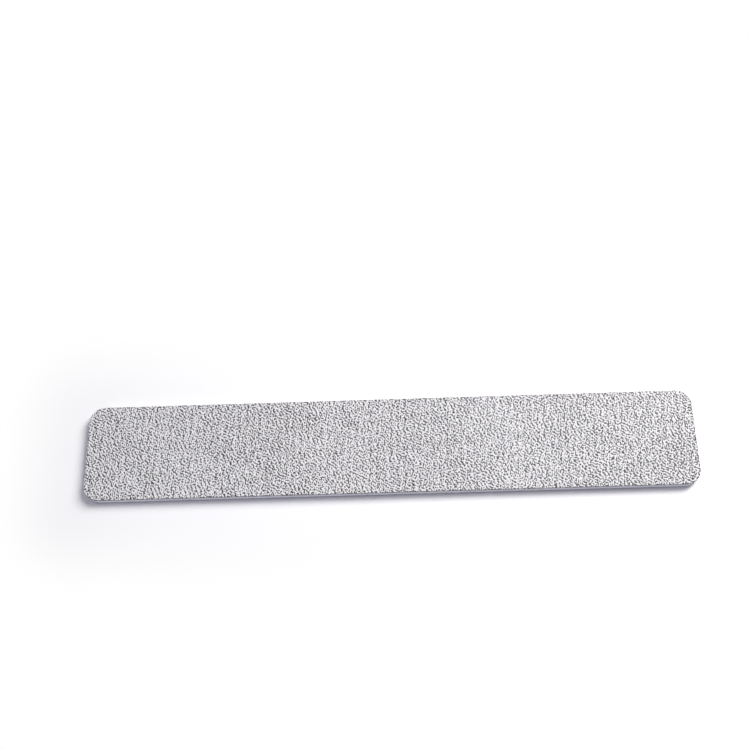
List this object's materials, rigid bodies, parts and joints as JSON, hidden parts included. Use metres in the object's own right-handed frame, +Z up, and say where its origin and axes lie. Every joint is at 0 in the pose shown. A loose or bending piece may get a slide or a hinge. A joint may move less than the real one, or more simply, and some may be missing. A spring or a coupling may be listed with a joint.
{
  "type": "emery board",
  "caption": "Flat straight emery board with rounded corners: a stiff core between foam layers, faced above and below with grey abrasive paper, for filing nails.",
  "frame": {"origin": "centre of the lower face, on the surface that the board lies on", "axes": "+X along the board's length, +Y across its width, +Z up through its thickness towards the coarse face"},
  "size_m": [0.178, 0.0286, 0.003],
  "materials": {
    "coarse_grit": "rough pale grey coated grain",
    "fine_grit": "rough grey coated grain, finer",
    "backing_paper": "matte cut paper edge",
    "adhesive": "clear satin film edge",
    "foam": "fine closed-cell foam, lavender white",
    "core_plastic": "satin sheet plastic"
  },
  "bodies": {
    "root": {"lower_fine_grit_coat": "fine_grit", "lower_backing_paper": "backing_paper", "lower_paper_adhesive": "adhesive", "lower_foam_layer": "foam", "lower_core_adhesive": "adhesive", "core_strip": "core_plastic", "upper_core_adhesive": "adhesive", "upper_foam_layer": "foam", "upper_paper_adhesive": "adhesive", "upper_backing_paper": "backing_paper", "upper_coarse_grit_coat": "coarse_grit"}
  },
  "joints": []
}
